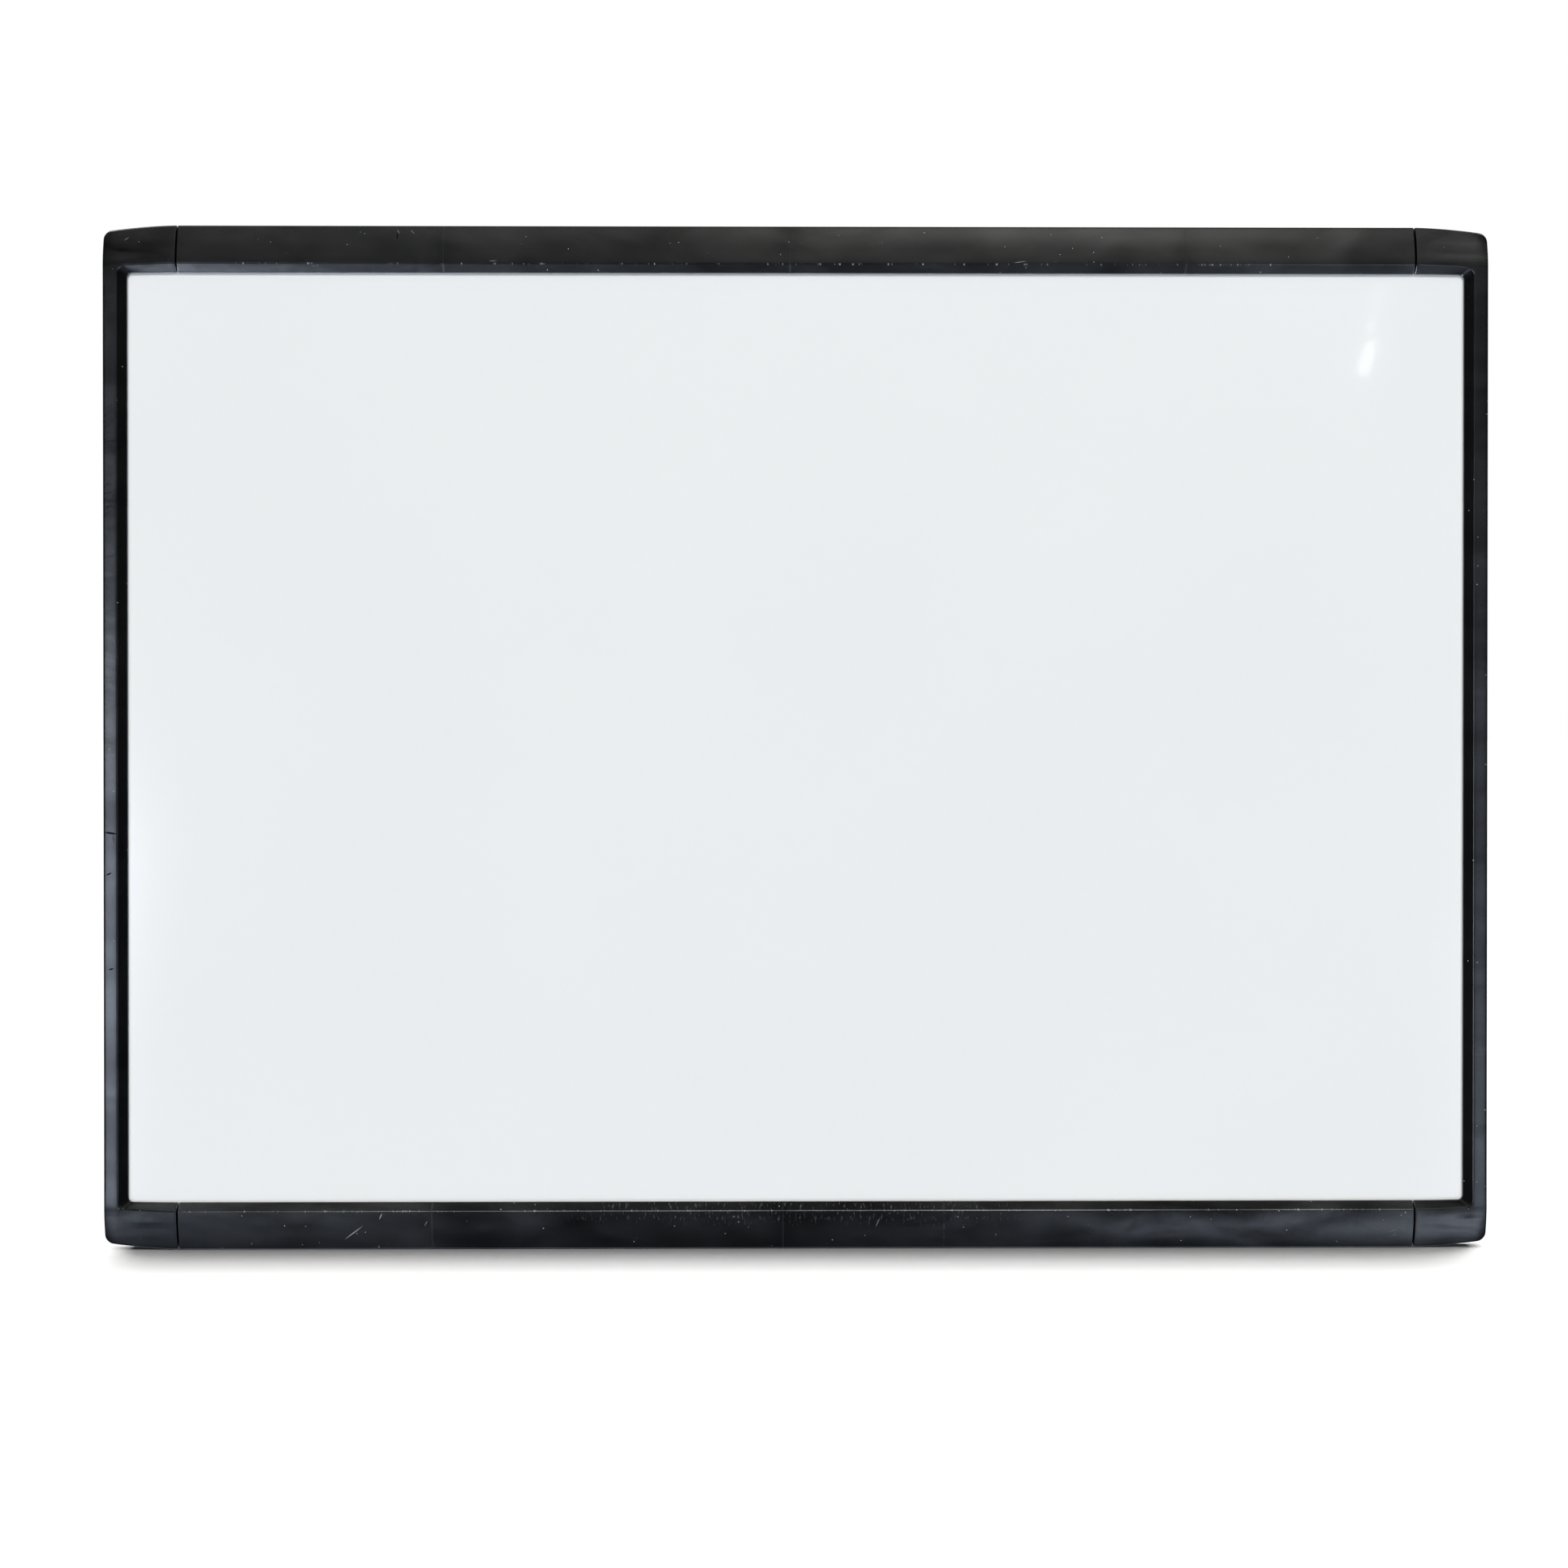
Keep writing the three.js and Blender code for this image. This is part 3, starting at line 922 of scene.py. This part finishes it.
def key_plastic():
    material, recipe, place = new_recipe("key_plastic")
    grain = recipe.noise(place, 1500, 2)
    colour = recipe.blend(
        recipe.noise(place, 40),
        (0.028, 0.030, 0.031, 1),
        (0.040, 0.042, 0.043, 1),
    )
    roughness = recipe.ramp(grain, 0.3, 0.7, 0.48, 0.6)
    surface(recipe, {
        "Base Color": colour,
        "Roughness": roughness,
        "Normal": recipe.bump(grain, 0.2, 0.00005),
    })
    return material


def zinc_steel():
    """Bright zinc plate with small crystals and darker smudges."""
    material, recipe, place = new_recipe("zinc_steel")
    crystals = recipe.cells(place, 2600).outputs["Distance"]
    smudge = recipe.noise(place, 700, 3)
    colour = recipe.blend(
        recipe.ramp(smudge, 0.35, 0.7),
        (0.66, 0.67, 0.68, 1),
        (0.50, 0.50, 0.49, 1),
    )
    roughness = recipe.ramp(smudge, 0.3, 0.7, 0.24, 0.42)
    surface(recipe, {
        "Base Color": colour,
        "Metallic": 1.0,
        "Roughness": roughness,
        "Normal": recipe.bump(crystals, 0.12, 0.00003),
    })
    return material


def bumper_rubber():
    material, recipe, place = new_recipe("bumper_rubber")
    grain = recipe.noise(place, 1800, 3)
    bloom = recipe.noise(place, 120, 3)
    colour = recipe.blend(
        recipe.ramp(bloom, 0.4, 0.75),
        (0.016, 0.016, 0.017, 1),
        (0.042, 0.042, 0.042, 1),
    )
    surface(recipe, {
        "Base Color": colour,
        "Roughness": 0.82,
        "Normal": recipe.bump(grain, 0.35, 0.00008),
    })
    return material


def give_material(node, material):
    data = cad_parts[node].data
    data.materials.clear()
    data.materials.append(material)


# Floor, light and camera

# The colour of the light from below the horizon
TINT_FROM_BELOW = (0.87, 0.98, 1.18)


def level_sheet(name, low, high, height):
    """A flat rectangle at a height, between two (x, y) corners."""
    shape = bmesh.new()
    corners = ((low[0], low[1]), (high[0], low[1]), (high[0], high[1]), (low[0], high[1]))
    shape.faces.new([shape.verts.new((x, y, height)) for x, y in corners])
    mesh = bpy.data.meshes.new(name)
    shape.to_mesh(mesh)
    shape.free()
    return new_object(name, mesh)


def hide_from_view(thing):
    """Leaves a thing out of sight, so that it only casts its shadow."""
    thing.visible_camera = False
    thing.visible_glossy = False
    thing.visible_diffuse = False


def add_flag():
    """A narrow strip just under the floor that keeps the lamps set below off the board's underside."""
    past = 5 * MM
    below_floor = 0.5 * MM
    flag = level_sheet(
        "lamp_flag",
        (END_LOW.x - past, END_LOW.y - past),
        (-END_LOW.x + past, FRAME_BACK + past),
        FLOOR_HEIGHT - below_floor,
    )
    hide_from_view(flag)
    return flag


def add_shadow_card(from_left, from_right):
    """A hidden slab inside the board, in from its sides, that shapes the ends of its shadow."""
    full_height = 427
    narrowing = 14
    back = 3.5
    front_in_rail = 11.2
    front_in_core = 9.8
    # Heights above the floor and the depth of the front there, in the bottom rail and above it
    steps = (
        (3.2, front_in_rail),
        (14, front_in_rail),
        (15, front_in_core),
        (full_height, front_in_core),
    )
    rings = []
    for height, front in steps:
        further_in = narrowing * height / full_height
        left = BOARD_LEFT / MM + from_left + further_in
        right = -BOARD_LEFT / MM - from_right - further_in
        corners = ((left, front), (right, front), (right, back), (left, back))
        rings.append([
            Vector((x * MM, FRAME_BACK - depth * MM, FLOOR_HEIGHT + height * MM))
            for x, depth in corners
        ])
    card = new_object("shadow_card", skin_over_rings("shadow_card", rings))
    hide_from_view(card)
    return card


def add_floor():
    """A wide pale floor that the camera sees, but reflections and bounced light don't."""
    reach = 30
    floor = level_sheet("floor", (-reach, -reach), (reach, reach), FLOOR_HEIGHT)
    material, recipe, _ = new_recipe("pale_floor")
    surface(recipe, {
        "Base Color": (0.45, 0.45, 0.45, 1),
        "Roughness": 1.0,
        "Specular IOR Level": 0.0,
    })
    floor.data.materials.append(material)
    floor.visible_glossy = False
    floor.visible_diffuse = False
    return floor


def group_of(name, members):
    group = bpy.data.collections.new(name)
    for member in members:
        group.objects.link(member)
    return group


def add_sun(name, strength, colour, spread_degrees, toward):
    """A sun of the given width, shining from a direction."""
    data = bpy.data.lights.new(name, "SUN")
    data.energy = strength
    data.color = colour
    data.angle = math.radians(spread_degrees)
    sun = new_object(name, data)
    sun.rotation_euler = toward.to_track_quat("Z", "Y").to_euler()
    return sun


def from_front(to_right_degrees, height_degrees):
    """The direction at a compass angle to the right of the camera and at a height above the horizon."""
    to_right, height = math.radians(to_right_degrees), math.radians(height_degrees)
    return Vector((
        math.sin(to_right) * math.cos(height),
        -math.cos(to_right) * math.cos(height),
        math.sin(height),
    ))


def add_softbox(name, centre, target, width, height, lean_degrees, radiance):
    """A rectangular soft light that leans to the right, with a face of the given radiance."""
    data = bpy.data.lights.new(name, "AREA")
    data.shape = "RECTANGLE"
    data.size = width
    data.size_y = height
    data.energy = radiance * math.pi * width * height
    softbox = new_object(name, data)
    softbox.location = centre
    lean = Quaternion((0, 0, 1), -math.radians(lean_degrees))
    softbox.rotation_euler = ((target - centre).to_track_quat("-Z", "Y") @ lean).to_euler()
    softbox.visible_camera = False
    return softbox


def add_glints(sheet_group):
    """The small highlight of a window near the sheet's top right corner."""
    x = 242
    down_from_top = 55.3
    distance = 1.5
    lean_degrees = 17
    highlight = from_top_left(x - BOARD_LEFT / MM, down_from_top, LIP_BACK)
    # Degrees to the right of the camera and above the horizon, width, height and radiance
    glints = (
        (12.95, 7.8, 0.009, 0.034, 6.5),
        (13.1, 9.0, 0.006, 0.012, 4.5),
        (13.35, 10.1, 0.010, 0.030, 1.4),
    )
    for to_right, up, width, height, radiance in glints:
        centre = highlight + from_front(to_right, up) * distance
        spot = add_softbox("window_glint", centre, highlight, width, height, lean_degrees, radiance)
        spot.light_linking.receiver_collection = sheet_group


def add_shadow_suns(floor_group, rails):
    """Nine suns nearly overhead, each stopped by the rails and by a card of its own."""
    first_from_left = 2.5
    first_from_right = 0.3
    step_from_right = 0.75
    to_right = 0.02
    to_back = (0.03, 0.07, 0.11)
    for i in range(9):
        card = add_shadow_card(first_from_left + i, first_from_right + step_from_right * i)
        toward = Vector((to_right, to_back[i % 3], 1))
        shadow_sun = add_sun("shadow_sun", 0.667, (1, 0.995, 0.985), 4.5, toward)
        shadow_sun.light_linking.receiver_collection = floor_group
        shadow_sun.light_linking.blocker_collection = group_of("rails_and_card", rails + [card])


def add_fill_suns(floor_group, sheet_group):
    """A wide sun that lifts the floor and its shadow, and one on the sheet alone."""
    floor_fill = add_sun("floor_fill", 0.95, (1, 1, 1), 40, from_front(0, 60))
    floor_fill.light_linking.receiver_collection = floor_group
    sheet_sun = add_sun("sheet_sun", 2.02, (1, 1, 1), 22, from_front(0, 34))
    sheet_sun.light_linking.receiver_collection = sheet_group


def add_ridge_suns(bottom_rail):
    """Three narrow suns that draw the lit line along the bottom rail's ridge."""
    bottom_rail_only = group_of("bottom_rail_only", [bottom_rail])
    for to_right in (-10, 0, 10):
        ridge_sun = add_sun("ridge_sun", 0.3, (1, 1, 1), 7, from_front(to_right, 30))
        ridge_sun.light_linking.receiver_collection = bottom_rail_only


def add_bevel_suns(receivers, blockers):
    """Suns far to both sides, above and below, that light the mouldings' bevels."""
    # Degrees to the right of the camera and above the horizon, and the strength
    suns = (
        (-72, -64, 3.3),
        (-75, 66, 0.75),
        (78, -63, 1.1),
        (84, 62, 0.9),
    )
    for to_right, height, strength in suns:
        colour = TINT_FROM_BELOW if height < 0 else (0.93, 1, 1.05)
        bevel_sun = add_sun("bevel_sun", strength, colour, 12, from_front(to_right, height))
        bevel_sun.light_linking.receiver_collection = receivers
        bevel_sun.light_linking.blocker_collection = blockers


# How bright the room is by height above the horizon, in degrees, at several compass directions.
# Direction 0 is behind the camera, and positive directions are to its right.
OUT_TO_SIDE = {-90: 0.1, -12: 0.04, 12: 0.04, 90: 0.1}
LOW_LEFT = {
    -90: 0.1, -60: 0.3, -48: 0.6, -30: 2.0, -12: 2.9, -7: 4.2, -3: 13.0, 0: 1.6, 3: 0.2, 10: 0.05,
    20: 0.30, 35: 0.28, 50: 0.45, 62: 0.5, 75: 0.1, 90: 0.1,
}
LEFT_OF_CAMERA = {
    -90: 0.05, -45: 0.05, -22: 0.09, 0: 0.10, 10: 0.25, 20: 0.52,
    30: 0.42, 50: 0.60, 59: 0.60, 65: 0.12, 75: 0.04, 90: 0.04,
}
RIGHT_OF_CAMERA = {
    -90: 0.05, -45: 0.04, -22: 0.07, 0: 0.14, 10: 0.45, 20: 1.1,
    30: 0.85, 50: 2.2, 58: 2.2, 64: 0.2, 75: 0.04, 90: 0.04,
}
LOW_RIGHT = {
    -90: 0.1, -60: 0.3, -50: 0.7, -28: 5.5, -15: 3.0, -8: 1.8, 0: 0.7, 6: 0.12, 12: 0.2,
    22: 0.80, 35: 0.9, 50: 1.4, 60: 1.2, 68: 0.15, 90: 0.1,
}
BEHIND_BOARD = {-90: 0.5, 90: 0.6}
ROOM = (
    (-110, BEHIND_BOARD),
    (-80, OUT_TO_SIDE),
    (-38, OUT_TO_SIDE),
    (-28, LOW_LEFT),
    (-17.5, LOW_LEFT),
    (-12.5, LEFT_OF_CAMERA),
    (-6, LEFT_OF_CAMERA),
    (6, RIGHT_OF_CAMERA),
    (13.5, RIGHT_OF_CAMERA),
    (17, LOW_RIGHT),
    (28, LOW_RIGHT),
    (38, OUT_TO_SIDE),
    (80, OUT_TO_SIDE),
    (110, BEHIND_BOARD),
)


def add_world():
    """A white backdrop for the camera, and a soft uneven room for everything else."""
    world = bpy.data.worlds.new("studio")
    bpy.context.scene.world = world
    world.use_nodes = True
    recipe = Recipe(world.node_tree)
    direction = recipe.node("TexCoord").outputs["Generated"]
    part = recipe.node("SeparateXYZ", {0: direction})
    right, back, up = part.outputs[0], part.outputs[1], part.outputs[2]
    azimuth = recipe.math("ARCTAN2", right, recipe.math("MULTIPLY", back, -1.0))
    height = recipe.ramp(up, -1, 1)

    before, before_profile = ROOM[0]
    strength = recipe.profile(height, before_profile)
    for degrees, profile in ROOM[1:]:
        if profile is not before_profile:
            share = recipe.ramp(azimuth, math.radians(before), math.radians(degrees), 0, 1, True)
            strength = recipe.mean(share, strength, recipe.profile(height, profile))
        before, before_profile = degrees, profile

    level = recipe.ramp(up, -0.05, 0.1)
    tone = recipe.blend(level, (*TINT_FROM_BELOW, 1), (1.0, 1.0, 0.97, 1))
    room = recipe.node("Background", {"Color": tone, "Strength": strength})
    backdrop = recipe.node("Background", {"Color": (1, 1, 1, 1)})
    seen = recipe.node("LightPath").outputs["Is Camera Ray"]
    both = recipe.node("MixShader", {0: seen, 1: room.outputs[0], 2: backdrop.outputs[0]})
    recipe.node("OutputWorld", {"Surface": both.outputs[0]})


def add_camera():
    """The photograph's camera: just left of the middle and a little above it."""
    distance = 1.1
    yaw = math.radians(0.567)
    pitch = math.radians(0.345)
    board_middle_y = -0.0091
    pivot = Vector((0, board_middle_y, BOARD_MIDDLE.z))
    back_along = Vector((
        -math.sin(yaw) * math.cos(pitch),
        -math.cos(yaw) * math.cos(pitch),
        math.sin(pitch),
    ))
    data = bpy.data.cameras.new("photograph")
    data.lens = 59.51
    data.sensor_width = 36
    data.shift_x = -0.00833
    data.shift_y = -0.02952
    data.clip_end = 200
    camera = new_object("photograph", data)
    camera.location = pivot + back_along * distance
    camera.rotation_euler = (-back_along).to_track_quat("-Z", "Y").to_euler()
    bpy.context.scene.camera = camera


add_camera()
plastic = black_plastic()
steel = zinc_steel()
rubber = bumper_rubber()
key_look = key_plastic()
ends = [make_end("left", 1, plastic), make_end("right", -1, plastic)]
rails = [make_rail("top", 1, plastic), make_rail("bottom", -1, plastic)]
for corner in CORNERS:
    make_screw(f"end_screw_{corner}", steel)
    make_screw(f"rail_screw_{corner}", steel)
    make_bumper(f"wall_bumper_{corner}", f"rubber_bumper_{corner}", rubber)
    give_material(f"splice_key_{corner}", key_look)
give_material("writing_sheet", white_enamel())
give_material("core_board", kraft_core())
give_material("backing_board", grey_fibreboard())

floor = add_floor()
add_world()
floor_group = group_of("floor_only", [floor])
sheet_group = group_of("sheet_only", [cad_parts["writing_sheet"]])
moulding_group = group_of("mouldings_only", ends + rails)
mouldings_and_flag = group_of("mouldings_and_flag", ends + rails + [add_flag()])
add_glints(sheet_group)
add_shadow_suns(floor_group, rails)
add_fill_suns(floor_group, sheet_group)
add_ridge_suns(rails[1])
add_bevel_suns(moulding_group, mouldings_and_flag)

bpy.context.scene.view_settings.view_transform = "Standard"
